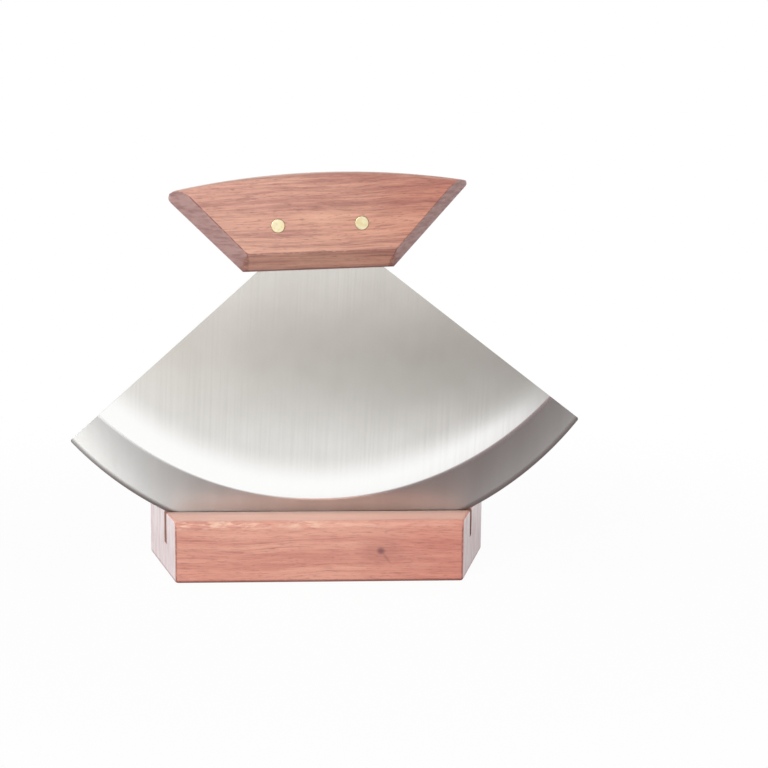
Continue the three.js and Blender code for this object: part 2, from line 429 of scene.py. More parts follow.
def round_tips(x, z, tips):
    """Draws a point in where a tip is rounded."""
    for middle_point, out, up in tips:
        away = Vector((x, z)) - middle_point
        reach = away.length
        if reach < TINY:
            continue
        way = away / reach
        if out.angle(way) + up.angle(way) > out.angle(up) + ANGLE_SLACK:
            continue
        drawn = middle_point + away * max(way.dot(out), way.dot(up))
        return drawn.x, drawn.y
    return x, z


def make_handle():
    """The wooden handle, with its slot for the tang and its two bores."""
    columns, rows = handle_columns(), handle_rows()
    tips = [handle_tip(side) for side in (-1, 1)]
    clear_bench()
    bpy.ops.mesh.primitive_grid_add(
        x_subdivisions=len(columns) - 1, y_subdivisions=len(rows) - 1, size=2
    )
    piece = take("handle_block")
    double(piece)
    for point in piece.data.vertices:
        column = columns[round((point.co.x + 1) / 2 * (len(columns) - 1))]
        row = rows[round((point.co.y + 1) / 2 * (len(rows) - 1))]
        x, z = handle_point(column, row)
        y = HANDLE_FRONT + handle_depth(x, z)
        x, z = round_tips(x, z, tips)
        point.co = (x, y if point.co.z > 0.5 else -y, z)
    turn_outwards(piece)
    tang_half = NECK_HALF - TANG_SHOULDER + SLOT_GAP
    sheet_half = BLADE_THICKNESS / 2 + SLOT_GAP
    slot = block(
        "tang_slot",
        (-tang_half, -sheet_half, HANDLE_SEAT - OVERLAP),
        (tang_half, sheet_half, TANG_TOP + SLOT_GAP),
    )
    combine(piece, slot, "DIFFERENCE")
    for side in (-1, 1):
        place = (side * PIN_HALF_SPACING, 0, PIN_HEIGHT)
        length = 2 * HANDLE_THICKNESS
        bore = rod("bore", place, PIN_RADIUS + PIN_GAP, length, HANDLE_BORE_SIDES)
        combine(piece, bore, "DIFFERENCE")
    smooth(piece, WOOD_SMOOTH)
    stand_in_kerf(piece)
    return piece


# The blade.

GRIND_EDGE = BLADE_RADIUS - EDGE_BEVEL_WIDTH


def grind_circle():
    """Height of the middle and radius of the circle that the grind line follows."""
    low = BLADE_RADIUS - GRIND_AT_MIDDLE
    side = BLADE_RADIUS - GRIND_AT_SIDES
    x = side * math.sin(BLADE_HALF_ANGLE)
    z = side * math.cos(BLADE_HALF_ANGLE)
    lift = (x * x + z * z - low * low) / (2 * (low - z))
    return lift, low + lift


GRIND_LIFT, GRIND_RADIUS = grind_circle()


def grind_line(angle):
    """Distance of the grind line from the middle, along a ray."""
    down = GRIND_LIFT * math.cos(angle)
    return math.sqrt(down * down - GRIND_LIFT**2 + GRIND_RADIUS**2) - down


def blade_rows():
    """Places along a ray: a zone and the share of that zone, from the neck out."""
    face, band, hollow = BLADE_FACE_ROWS, BLADE_BAND_ROWS, BLADE_HOLLOW_ROWS
    rows = [("face", k / face) for k in range(face)]
    rows += [("band", k / band) for k in range(band)]
    rows += [("crease", k) for k in (-1, 0, 1)]
    rows += [("hollow", k / hollow) for k in range(1, hollow + 1)]
    rows += [("edge", 1)]
    return rows


def blade_row(row, angle):
    """Distance from the middle and depth of the front face below the sheet."""
    zone, share = row
    line = grind_line(angle)
    neck = -SHOULDER_HEIGHT / math.cos(angle)
    top = line - BUFFED_BAND
    near, far = line - CREASE_ROUND, line + CREASE_ROUND
    if zone == "face":
        radius = neck + (top - neck) * share
    elif zone == "band":
        radius = top + (near - top) * share
    elif zone == "crease":
        radius = line + CREASE_ROUND * share
    elif zone == "hollow":
        radius = far + (GRIND_EDGE - far) * share
    else:
        return BLADE_RADIUS, BLADE_THICKNESS - EDGE_THICKNESS
    buffed = math.tan(BUFFED_TILT) * BUFFED_BAND / 2
    if radius <= line:
        into = max(0.0, radius - top) / BUFFED_BAND
        return radius, buffed * into * into
    into = (radius - line) / (GRIND_EDGE - line)
    hollow = into * (1 + GRIND_HOLLOW - GRIND_HOLLOW * into)
    return radius, buffed + (GRIND_DEPTH - buffed) * hollow


def make_blade():
    """The steel blade, with its tang and the tang's two bores."""
    rows = blade_rows()
    clear_bench()
    bpy.ops.mesh.primitive_grid_add(
        x_subdivisions=BLADE_COLUMNS, y_subdivisions=len(rows) - 1, size=2
    )
    piece = take("blade_sheet")
    double(piece)
    half = BLADE_THICKNESS / 2
    for point in piece.data.vertices:
        angle = point.co.x * BLADE_HALF_ANGLE
        step = round((point.co.y + 1) / 2 * (len(rows) - 1))
        radius, depth = blade_row(rows[step], angle)
        is_front = point.co.z > 0.5
        point.co = (
            radius * math.sin(angle),
            depth - half if is_front else half,
            -radius * math.cos(angle),
        )

    inset = BLADE_TIP_RADIUS * (math.sqrt(2) - 1)
    sine, cosine = math.sin(BLADE_HALF_ANGLE), math.cos(BLADE_HALF_ANGLE)
    for side in (-1, 1):
        out = Vector((side * sine, 0, -cosine))
        over = Vector((side * cosine, 0, sine))
        corner = out * BLADE_RADIUS
        outward = (out + over).normalized()
        saw_off(piece, corner - outward * inset, outward)
    tang_half = NECK_HALF - TANG_SHOULDER
    tang_sheet = half - TANG_THINNING
    tang = block(
        "tang",
        (-tang_half, -tang_sheet, SHOULDER_HEIGHT - OVERLAP),
        (tang_half, tang_sheet, TANG_TOP),
    )

    def tang_corner(a, b):
        through = abs(a.y - b.y) > tang_sheet
        return through and a.z > TANG_TOP - TINY

    ease_edges(tang, tang_corner, TANG_CORNER_RADIUS, segments=6)
    combine(piece, tang, "UNION")
    for side in (-1, 1):
        place = (side * PIN_HALF_SPACING, 0, PIN_HEIGHT)
        length = 4 * BLADE_THICKNESS
        bore = rod("bore", place, PIN_RADIUS + PIN_GAP, length, BLADE_BORE_SIDES)
        combine(piece, bore, "DIFFERENCE")
    turn_outwards(piece, WELD)
    bpy.ops.object.shade_smooth_by_angle(angle=STEEL_SMOOTH)
    stand_in_kerf(piece)
    return piece


# The pins.


def make_pin(name, side):
    """A brass pin, left or right, flush with both faces of the handle."""
    place = (side * PIN_HALF_SPACING, 0, PIN_HEIGHT)
    half = HANDLE_THICKNESS / 2
    piece = rod(name, place, PIN_RADIUS, HANDLE_THICKNESS, PIN_SIDES)

    def rim(a, b):
        return abs(a.y - b.y) < TINY and abs(abs(a.y) - half) < TINY

    ease_edges(piece, rim, PIN_RIM_EASE, segments=4)
    smooth(piece, BRASS_SMOOTH)
    stand_in_kerf(piece)
    return piece


# The stand.

stand_low, stand_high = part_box("stand")
STAND_FLARE = math.tan(STAND_END_BEVEL)
KERF_MIDDLE = stand_low.y + KERF_FROM_FRONT + KERF_LEAN


def stand_reach(depth):
    """Half the stand's length at a depth."""
    return STAND_FRONT_HALF + STAND_FLARE * (depth - stand_low.y)


def make_stand():
    """The wooden stand, with its eased edges and the kerf along its top."""
    half = STAND_BLANK_HALF
    piece = block(
        "stand_block",
        (-half, stand_low.y, stand_low.z),
        (half, stand_high.y, stand_high.z),
    )

    def along(a, b):
        return abs(a.x - b.x) > half

    def top_edge(a, b):
        return along(a, b) and a.z > stand_high.z - TINY

    def bottom_edge(a, b):
        return along(a, b) and a.z < stand_low.z + TINY

    ease_edges(piece, top_edge, STAND_TOP_ROUND, segments=8)
    ease_edges(piece, bottom_edge, STAND_BOTTOM_ROUND, segments=4)
    mark_lines(piece, half, STAND_LENGTHS)
    for point in piece.data.vertices:
        point.co.x = point.co.x / half * stand_reach(point.co.y)

    def end_edge(a, b):
        return all(abs(abs(p.x) - stand_reach(p.y)) < TINY for p in (a, b))

    ease_edges(piece, end_edge, STAND_CORNER_ROUND, segments=4)
    kerf = block(
        "kerf",
        (-2 * half, KERF_MIDDLE - KERF_WIDTH / 2, stand_high.z - KERF_DEPTH),
        (2 * half, KERF_MIDDLE + KERF_WIDTH / 2, stand_high.z + KERF_DEPTH),
    )
    mark_lines(kerf, 2 * half, KERF_LENGTHS)
    for point in kerf.data.vertices:
        if point.co.z < stand_high.z:
            side = 1 if point.co.x > 0 else -1
            out = abs(point.co.x) / stand_reach(KERF_MIDDLE)
            point.co.z += KERF_END_RISE[side] * out * out
    combine(piece, kerf, "DIFFERENCE")
    smooth(piece, WOOD_SMOOTH)
    return piece


# Finishes.


def shade(red, green, blue):
    """A colour as the eye reads it, 0 to 255, turned to light values."""
    values = []
    for value in (red, green, blue):
        part = value / 255
        low = part <= 0.04045
        values.append(part / 12.92 if low else ((part + 0.055) / 1.055) ** 2.4)
    return (*values, 1.0)


# Sockets of a mix node: the share, the two that it mixes, and what comes out.
COLOUR_MIX = (0, 6, 7, 2)
VECTOR_MIX = (0, 4, 5, 1)


class Nodes:
    """The nodes of a finish or of a studio surface, and how they are joined."""

    def __init__(self, tree):
        self.tree = tree
        tree.nodes.clear()

    def add(self, kind, **settings):
        node = self.tree.nodes.new(kind)
        for key, value in settings.items():
            setattr(node, key, value)
        return node

    def join(self, source, target):
        self.tree.links.new(source, target)

    def put(self, value, socket):
        """Joins a node's result to a socket, or sets a plain value there."""
        if isinstance(value, bpy.types.NodeSocket):
            self.join(value, socket)
        else:
            socket.default_value = value

    def sum(self, operation, *values):
        """One step of arithmetic."""
        node = self.add("ShaderNodeMath", operation=operation)
        for socket, value in zip(node.inputs, values):
            self.put(value, socket)
        return node.outputs["Value"]

    def times(self, first, *others):
        """Values multiplied together."""
        for other in others:
            first = self.sum("MULTIPLY", first, other)
        return first

    def spread(self, source, low, high, to_low=0.0, to_high=1.0):
        """Maps a range of one value to another, with soft ends."""
        node = self.add("ShaderNodeMapRange", interpolation_type="SMOOTHSTEP")
        self.join(source, node.inputs["Value"])
        node.inputs["From Min"].default_value = low
        node.inputs["From Max"].default_value = high
        node.inputs["To Min"].default_value = to_low
        node.inputs["To Max"].default_value = to_high
        return node.outputs["Result"]

    def mix(self, sockets, *values, **settings):
        """Mixes two values of one kind by a share."""
        node = self.add("ShaderNodeMix", **settings)
        *ends, result = sockets
        for end, value in zip(ends, values):
            self.put(value, node.inputs[end])
        return node.outputs[result]

    def blend(self, share, under, over, how="MIX"):
        """Lays one colour over another by a share."""
        kind = {"data_type": "RGBA", "blend_type": how}
        return self.mix(COLOUR_MIX, share, under, over, **kind)

    def vector(self, operation, *values):
        """One step of arithmetic with vectors."""
        node = self.add("ShaderNodeVectorMath", operation=operation)
        for socket, value in zip(node.inputs, values):
            self.put(value, socket)
        return node.outputs["Vector"]

    def size(self, source):
        """Length of a vector."""
        node = self.add("ShaderNodeVectorMath", operation="LENGTH")
        self.join(source, node.inputs[0])
        return node.outputs["Value"]

    def parts(self, source):
        """The X, Y and Z of a vector."""
        node = self.add("ShaderNodeSeparateXYZ")
        self.join(source, node.inputs["Vector"])
        return node.outputs


class Finish(Nodes):
    """A material under way: its nodes, and the shader that they feed."""

    def __init__(self, name):
        self.material = bpy.data.materials.new(name)
        self.material.use_nodes = True
        super().__init__(self.material.node_tree)
        self.surface = self.add("ShaderNodeBsdfPrincipled")
        end = self.add("ShaderNodeOutputMaterial")
        self.join(self.surface.outputs["BSDF"], end.inputs["Surface"])
        self.place = self.add("ShaderNodeTexCoord").outputs

    def give(self, name, value):
        """Sets one property of the shader."""
        self.put(value, self.surface.inputs[name])

    def turned(self, source, turn=0.0, scale=(1, 1, 1), shift=(0, 0, 0)):
        """Coordinates turned about the depth axis, moved and stretched."""
        node = self.add("ShaderNodeMapping")
        self.join(source, node.inputs["Vector"])
        node.inputs["Rotation"].default_value = (0, turn, 0)
        node.inputs["Scale"].default_value = scale
        node.inputs["Location"].default_value = shift
        return node.outputs["Vector"]

    def noise(self, source, detail=2.0, rough=0.5, part="Fac"):
        node = self.add("ShaderNodeTexNoise")
        self.join(source, node.inputs["Vector"])
        node.inputs["Scale"].default_value = 1.0
        node.inputs["Detail"].default_value = detail
        node.inputs["Roughness"].default_value = rough
        return node.outputs[part]

    def sideways(self):
        """How much a face looks to the left or to the right."""
        return self.sum("ABSOLUTE", self.parts(self.place["Normal"])["X"])

    def bump(self, height, strength, distance):
        node = self.add("ShaderNodeBump")
        node.inputs["Strength"].default_value = strength
        node.inputs["Distance"].default_value = distance
        self.join(height, node.inputs["Height"])
        self.give("Normal", node.outputs["Normal"])


# Noise scales of the wood, per metre along, through and up the grain.
DRIFT_SCALE = (14, 40, 40)
BAND_SCALE = (7, 150, 190)
STREAK_SCALE = (26, 800, 1000)
FIBRE_SCALE = (170, 2200, 2700)
PORE_SCALE = (420, 2400, 3300)
TONE_SCALE = (22, 60, 75)
RUB_SCALE = (900, 900, 900)
GRAIN_WANDER = (0, 0.004, 0.006)
WOOD_ROUGHNESS = (0.36, 0.5)
PORE_DEPTH = 0.12 * MM


@dataclass
class WoodLook:
    """How one block of wood looks."""

    # Lie of the grain, and which part of it the block was cut from.
    turn: float
    shift: tuple
    # Tones of the long faces, from the palest to the lines of the grain.
    light: tuple
    warm: tuple
    dark: tuple
    line: tuple
    # Tones of the ends, and how far a face turns sideways before it is an end.
    end_pale: tuple
    end_dark: tuple
    end_grain: tuple
    rim_from: float
    end_from: float
    end_full: float
    rim_share: float
    # The redder tone towards the right.
    red_tone: tuple
    red_from: float
    red_to: float
    red_share: float
    # Where the underside lies, and how far up it is painted dark as shade.
    up: Vector
    level: float
    rise: float
    marks: tuple = ()


class Grain:
    """The noises that a block of wood is drawn with."""

    def __init__(self, f, look):
        self.lie = f.turned(f.place["Object"], look.turn, shift=look.shift)
        drift = f.noise(f.turned(self.lie, scale=DRIFT_SCALE), part="Color")
        grain = f.vector("MULTIPLY_ADD", drift, GRAIN_WANDER, self.lie)
        self.bands = f.noise(f.turned(grain, scale=BAND_SCALE), 4, 0.68)
        self.streaks = f.noise(f.turned(grain, scale=STREAK_SCALE), 4, 0.66)
        self.fibres = f.noise(f.turned(grain, scale=FIBRE_SCALE), 3, 0.7)
        self.pores = f.noise(f.turned(grain, scale=PORE_SCALE), 2, 0.6)
        self.tone = f.noise(f.turned(self.lie, scale=TONE_SCALE))
        ragged = f.noise(f.turned(self.lie, scale=RUB_SCALE))
        self.rubbed = f.spread(ragged, 0.3, 0.62, 0.3, 0.9)


def long_faces(f, grain, look):
    """Colour of the faces along the grain, redder towards the right."""
    layers = (
        (grain.tone, 0.36, 0.64, 1, look.warm),
        (grain.bands, 0.44, 0.64, 0.9, look.dark),
        (grain.streaks, 0.42, 0.7, 0.5, look.dark),
        (grain.streaks, 0.56, 0.76, 0.55, look.line),
        (grain.fibres, 0.47, 0.75, 0.42, look.line),
        (grain.fibres, 0.5, 0.25, 0.4, look.light),
        (grain.pores, 0.55, 0.72, 0.4, look.line),
    )
    colour = look.light
    for noise, low, high, share, tone in layers:
        colour = f.blend(f.spread(noise, low, high, 0, share), colour, tone)
    across = f.parts(f.place["Object"])["X"]
    redness = f.times(
        f.spread(across, look.red_from, look.red_to, 0, look.red_share),
        f.spread(grain.tone, 0.3, 0.6, 0.55, 1),
    )
    return f.blend(redness, colour, look.red_tone, "MULTIPLY")


def cut_ends(f, grain, look):
    """Colour of the ends, across the grain."""
    cut = f.noise(f.turned(grain.lie, scale=look.end_grain), 3, 0.6)
    colour = f.blend(f.spread(cut, 0.36, 0.66), look.end_pale, look.end_dark)
    return f.blend(f.spread(grain.fibres, 0.5, 0.8, 0, 0.2), colour, look.line)


def dark_edges(f, grain, look, colour, ends):
    """Darker lines where the faces turn to the ends and to the underside, with painted
    shade on faces that look down and along the bottom edge.
    """
    sideways = f.sideways()
    upward = f.parts(f.place["Normal"])["Z"]
    downward = f.times(upward, -1.0)
    end_rim = f.times(
        f.spread(sideways, look.rim_from, (look.rim_from + look.end_from) / 2),
        f.spread(sideways, look.end_from, look.end_full, look.rim_share, 0),
        f.spread(upward, 0.1, 0.3, 1, 0),
        grain.rubbed,
    )
    lower_rim = f.times(
        f.spread(downward, 0.03, 0.2),
        f.spread(downward, 0.3, 0.55, 1, 0),
        f.sum("SUBTRACT", 1.0, ends),
        grain.rubbed,
        0.7,
    )
    # Painted shade on faces that look down.
    below = f.spread(downward, 0.35, 0.6, 0, 0.16)
    # Painted shade along the bottom edge, where the piece sits.
    above = f.add("ShaderNodeVectorMath", operation="DOT_PRODUCT")
    f.join(f.place["Object"], above.inputs[0])
    above.inputs[1].default_value = look.up
    start, stop = look.level + 0.2 * look.rise, look.level + look.rise
    foot = f.spread(above.outputs["Value"], start, stop, 0.85, 0)
    for share in (end_rim, lower_rim, below, foot):
        colour = f.blend(share, colour, look.line)
    return colour


def wood(name, look):
    """Straight-grained reddish hardwood, sanded and oiled."""
    f = Finish(name)
    grain = Grain(f, look)
    ends = f.spread(f.sideways(), look.end_from, look.end_full)
    colour = long_faces(f, grain, look)
    colour = f.blend(ends, colour, cut_ends(f, grain, look))
    colour = dark_edges(f, grain, look, colour, ends)
    for mark in look.marks:
        colour = mark(f, colour)
    f.give("Base Color", colour)
    f.give("Roughness", f.spread(grain.streaks, 0.3, 0.8, *WOOD_ROUGHNESS))
    f.give("Specular IOR Level", 0.5)
    pitted = f.spread(grain.pores, 0.56, 0.74, 0, -0.9)
    height = f.sum("ADD", f.times(grain.fibres, 0.6), pitted)
    f.bump(height, 0.35, PORE_DEPTH)
    return f.material


STAND_LINE = shade(160, 104, 96)
# Painted sheen on the stand's flat top.
TOP_PAINTED_SHEEN = shade(226, 174, 156)
# Painted shade on the stand's top beside the kerf.
KERF_SIDE_SHADE_TONE = shade(122, 96, 88)
TOP_SHEEN = shade(255, 216, 196)
# Painted highlights below the stand's front edge.
EDGE_HIGHLIGHT_TONE = shade(250, 208, 184)
# Painted shade inside the kerf.
KERF_INSIDE_SHADE_TONE = shade(168, 124, 108)
KNOT_HEART = shade(124, 84, 92)
KNOT_PLACE = Vector((18.3 * MM, stand_low.y, 9.65 * MM))
KNOT_TAIL = KNOT_PLACE + Vector((1.7, 0, -2.2)) * MM
KNOT_TAIL_TURN = -0.92


def from_kerf(f, where):
    """Distance from the middle of the kerf."""
    return f.sum("ABSOLUTE", f.sum("SUBTRACT", where["Y"], KERF_MIDDLE))


def top_painted_light(f, colour):
    """The stand's top: painted sheen on the flat top, painted shade beside the kerf and
    painted highlights below its front edge.
    """
    lie = f.place["Object"]
    where = f.parts(lie)
    top = f.spread(f.parts(f.place["Normal"])["Z"], 0.8, 0.99)
    grain = f.noise(f.turned(lie, scale=(24, 420, 420)), 4, 0.65)
    # Painted sheen: the flat top is painted paler, in patches along the grain.
    rubbed = f.times(top, f.spread(grain, 0.32, 0.68, 0.35, 0.9))
    # Painted shade on the top beside the blade, fading away from the kerf.
    kerf_side_shade = f.times(top, f.spread(from_kerf(f, where), 2 * MM, 7 * MM, 0.5, 0))
    colour = f.blend(rubbed, colour, TOP_PAINTED_SHEEN)
    colour = f.blend(kerf_side_shade, colour, KERF_SIDE_SHADE_TONE)
    f.give("Sheen Weight", top)
    f.give("Sheen Roughness", 0.25)
    f.give("Sheen Tint", TOP_SHEEN)
    highlight_grain = f.noise(f.turned(lie, scale=(170, 300, 900)), 4, 0.65)
    patches = f.noise(f.turned(lie, scale=(45, 45, 45), shift=(0.3, 0, 0)))
    edge, face = stand_high.z, stand_low.y
    # Painted highlights in patches just below the front edge, stronger towards the
    # left.
    edge_highlight = f.times(
        f.spread(where["Z"], edge - 3.4 * MM, edge - 1.4 * MM),
        f.spread(highlight_grain, 0.47, 0.62),
        f.spread(where["Y"], face + 0.5 * MM, face + 2.5 * MM, 1, 0),
        f.spread(where["X"], -15 * MM, 25 * MM, 0.85, 0.15),
        f.spread(patches, 0.35, 0.55, 0.4, 1),
    )
    return f.blend(edge_highlight, colour, EDGE_HIGHLIGHT_TONE)


def pin_knot(f, colour):
    """A pin knot with a short dark tail, on the front of the stand."""
    spots = (
        (KNOT_PLACE, 0.0, (1, 0.5, 1.1), 0.3, 1.7, 0.85, KNOT_HEART),
        (KNOT_TAIL, KNOT_TAIL_TURN, (0.4, 0.3, 1.9), 0.1, 1.2, 0.5, STAND_LINE),
        (KNOT_PLACE, 0.0, (0.35, 0.4, 0.55), 0.9, 3.2, 0.25, STAND_LINE),
    )
    for spot, turn, stretch, inner, outer, share, tint in spots:
        away = f.vector("SUBTRACT", f.place["Object"], spot)
        near = f.turned(f.turned(away, turn), scale=stretch)
        cover = f.spread(f.size(near), inner * MM, outer * MM, share, 0)
        colour = f.blend(cover, colour, tint)
    return colour


def shaded_kerf(f, colour):
    """The inside of the kerf, painted darker as shade in the narrow slot."""
    where = f.parts(f.place["Object"])
    wall, floor = KERF_WIDTH / 2, stand_high.z - KERF_DEPTH
    kerf_inside_shade = f.times(
        f.spread(from_kerf(f, where), wall + 0.02 * MM, wall + 0.15 * MM, 1, 0),
        f.spread(where["Z"], floor - 0.15 * MM, floor - 0.02 * MM),
        f.spread(f.sideways(), 0.5, 0.8, 1, 0),
    )
    return f.blend(kerf_inside_shade, colour, KERF_INSIDE_SHADE_TONE)


# The steel, whose roughness changes where it is buffed, ground or sheared.
BRUSHING_SCALE = (1700, 300, 24)
BROAD_SCALE = (90, 90, 14)
CLOUD_SCALE = (45, 45, 45)
FACE_TONES = (shade(233, 231, 228), shade(227, 225, 221))
# Painted highlight in the buffed band; its smoother roughness is real.
BUFFED_PAINTED_HIGHLIGHT = shade(255, 255, 254)
# The hollow is painted darker than the face: painted shade in what it mirrors.
HOLLOW_SHADED_TONES = (shade(204, 204, 202), shade(211, 211, 209))
EDGE_TONE = shade(190, 188, 185)
BRUSH_MARK_TONE = shade(150, 146, 142)
BRUSHED_ROUGHNESS = (0.22, 0.25)
BUFFED_SMOOTHER = -0.07
GROUND_ROUGHER = 0.23
SHEARED_ROUGHER = 0.4
STRETCHED_GLOSS = 0.75


def steel(name):
    """Sheet steel: a face brushed upright, buffed where it meets the hollow grind, and
    painted near white there as a highlight.
    """
    f = Finish(name)
    place = f.turned(f.place["Object"], shift=tuple(-KNIFE_MIDDLE))
    lie = f.turned(place, -KNIFE_ROCK)
    brushing = f.noise(f.turned(lie, scale=BRUSHING_SCALE), 3, 0.6)
    broad = f.noise(f.turned(lie, scale=BROAD_SCALE), 3, 0.6)
    cloud = f.noise(f.turned(lie, scale=CLOUD_SCALE), 3, 0.6)

    flat = f.vector("MULTIPLY", lie, (1, 0, 1))
    reach = f.size(f.vector("SUBTRACT", flat, (0, 0, GRIND_LIFT)))
    line, edge = GRIND_RADIUS, GRIND_EDGE
    is_front = f.spread(f.parts(f.place["Normal"])["Y"], -0.5, -0.3, 1, 0)
    ground = f.times(f.spread(reach, line - 0.1 * MM, line + 0.5 * MM), is_front)
    buffed = f.times(f.spread(reach, line - 14 * MM, line - 4 * MM), is_front)
    past_edge = f.spread(f.size(flat), edge - 0.1 * MM, edge + 0.3 * MM)
    sheared = f.spread(f.sideways(), 0.3, 0.5)

    face = f.blend(f.spread(cloud, 0.3, 0.7), *FACE_TONES)
    # Painted highlight: the buffed band is painted near white.
    face = f.blend(buffed, face, BUFFED_PAINTED_HIGHLIGHT)
    # Painted shade: the hollow darker than the face.
    hollow = f.blend(f.spread(broad, 0.3, 0.7), *HOLLOW_SHADED_TONES)
    colour = f.blend(ground, face, hollow)
    colour = f.blend(f.times(past_edge, 0.7), colour, EDGE_TONE)
    brush_marks = f.times(
        f.spread(brushing, 0.35, 0.75, 0, 0.07), f.spread(buffed, 0, 1, 1, 0.1)
    )
    f.give("Base Color", f.blend(brush_marks, colour, BRUSH_MARK_TONE))
    f.give("Metallic", 1.0)

    rough = f.spread(brushing, 0.3, 0.75, *BRUSHED_ROUGHNESS)
    for where, change in (
        (buffed, BUFFED_SMOOTHER),
        (ground, GROUND_ROUGHER),
        (sheared, SHEARED_ROUGHER),
    ):
        rough = f.sum("ADD", rough, f.times(where, change))
    f.give("Roughness", rough)
    round_edge = f.vector("NORMALIZE", f.vector("CROSS_PRODUCT", place, (0, 1, 0)))
    way = f.mix(VECTOR_MIX, ground, (1, 0, 0), round_edge, data_type="VECTOR")
    f.give("Tangent", way)
    f.give("Anisotropic", STRETCHED_GLOSS)
    f.bump(brushing, 0.025, 0.02 * MM)
    return f.material


BRASS_TONES = (shade(253, 243, 206), shade(243, 226, 176))
SANDING_TONE = shade(214, 194, 146)
SANDING_TURN = 0.6


def brass(name):
    """Brass rod, sanded flush, with fine marks from the paper."""
    f = Finish(name)
    lie = f.place["Object"]
    marks = f.noise(f.turned(lie, SANDING_TURN, scale=(500, 500, 5200)), 3, 0.6)
    cloud = f.noise(f.turned(lie, scale=(700, 700, 700)))
    colour = f.blend(f.spread(cloud, 0.35, 0.7), *BRASS_TONES)
    colour = f.blend(f.spread(marks, 0.5, 0.8, 0, 0.3), colour, SANDING_TONE)
    f.give("Base Color", colour)
    f.give("Metallic", 1.0)
    f.give("Roughness", f.spread(marks, 0.3, 0.8, 0.3, 0.5))
    f.bump(marks, 0.1, 0.03 * MM)
    return f.material


def dress(piece, body, slot, material, *nodes):
    """Gives a finished piece its material, its body and the solids it stands for."""
    piece.data.materials.clear()
    piece.data.materials.append(material)
    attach(piece, body)
    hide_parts(*nodes)


knife_up = KNIFE_TURN @ Vector((0, 0, 1))
handle_look = WoodLook(
    turn=KNIFE_ROCK,
    shift=(0.31, 0.07, 0.02),
    light=shade(242, 190, 164),
    warm=shade(227, 171, 151),
    dark=shade(182, 129, 119),
    line=shade(128, 84, 80),
    end_pale=shade(202, 165, 160),
    end_dark=shade(172, 133, 129),
    end_grain=(60, 300, 1000),
    rim_from=0.08,
    end_from=0.28,
    end_full=0.42,
    rim_share=0.7,
    red_tone=shade(230, 200, 194),
    red_from=-20 * MM,
    red_to=40 * MM,
    red_share=0.9,
    up=knife_up,
    level=KNIFE_MIDDLE.dot(knife_up) + HANDLE_SEAT,
    rise=0.75 * MM,
)
stand_look = WoodLook(
    turn=0.0,
    shift=(0.11, 0.42, 0.17),
    light=shade(240, 179, 158),
    warm=shade(232, 164, 145),
    dark=shade(214, 144, 129),
    line=STAND_LINE,
    # The stand's end tones are near white: pale end grain with a painted sheen of the
    # ends seen at a grazing angle.
    end_pale=shade(255, 246, 246),
    end_dark=shade(242, 222, 225),
    end_grain=(60, 700, 120),
    rim_from=0.18,
    end_from=0.75,
    end_full=0.92,
    rim_share=0.9,
    red_tone=shade(246, 230, 230),
    red_from=8 * MM,
    red_to=42 * MM,
    red_share=0.7,
    up=Vector((0, 0, 1)),
    level=stand_low.z,
    rise=1.4 * MM,
    marks=(top_painted_light, pin_knot, shaded_kerf),
)
handle_wood = wood("handle_wood", handle_look)
stand_wood = wood("stand_wood", stand_look)
blade_steel = steel("blade_steel")
pin_brass = brass("pin_brass")

dress(make_stand(), "stand", "stand_wood", stand_wood, "stand")
dress(make_blade(), "knife", "blade_steel", blade_steel, "blade")
dress(make_handle(), "knife", "handle_wood", handle_wood, "handle")
dress(make_pin("brass_pin_left", -1), "knife", "pin_brass", pin_brass, "pin_left")
dress(make_pin("brass_pin_right", 1), "knife", "pin_brass", pin_brass, "pin_right")


# The studio, in metres.

FLOOR_HALF = 1.6
FLOOR_TONE = (0.6, 0.6, 0.6)
FLOOR_PALE = (0.95, 0.95, 0.95)
WHITE = (1, 1, 1)
ROOM_TONE = (1.0, 0.99, 0.98)
ROOM_LIGHT = 0.38
# What the steel mirrors of the floor, by the distance before the knife: a painted pool
# of light close by, painted shade further on.
MIRRORED_REACH = 1.2
MIRRORED_STOPS = (
    (0.0, (1, 1, 1)),
    (0.21, (1, 1, 1)),
    (0.33, (0.55, 0.545, 0.525)),
    (0.5, (0.45, 0.423, 0.39)),
    (0.7, (0.45, 0.417, 0.382)),
    (1.05, (1.0, 0.95, 0.9)),
)
# Painted light: the mirrored floor paler on the left and darker on the right.
PALER_ON_LEFT = 1.15
DARKER_ON_RIGHT = -0.24
# Painted shadow of the knife on the floor just before the stand, which bends away to
# the right.
KNIFE_SHADOW_TONE = (0.26, 0.21, 0.208, 1)
KNIFE_SHADOW_BEND = -11.2
BEHIND_TONE = (0.85, 0.85, 0.85, 1)
# Name, place, width, height, power, and whether metal mirrors the lamp.
LAMP_TARGET = (0, 0, 0.06)
LAMPS = (
    ("key", (-0.62, -0.92, 0.44), 0.5, 0.8, 7.6, True),
    ("fill", (1.0, -0.4, 0.3), 0.5, 0.5, 3.2, False),
    ("side", (-1.0, -0.2, 0.3), 0.5, 0.5, 1.8, False),
)
CAMERA_PLACE = Vector((-11.890, -459.093, 128.519)) * MM
CAMERA_YAW = math.radians(3.978)
CAMERA_PITCH = math.radians(8.747)
CAMERA_ROLL = math.radians(-0.588)
FOCAL_PIXELS = 1504.347
FRAME_PIXELS = 768


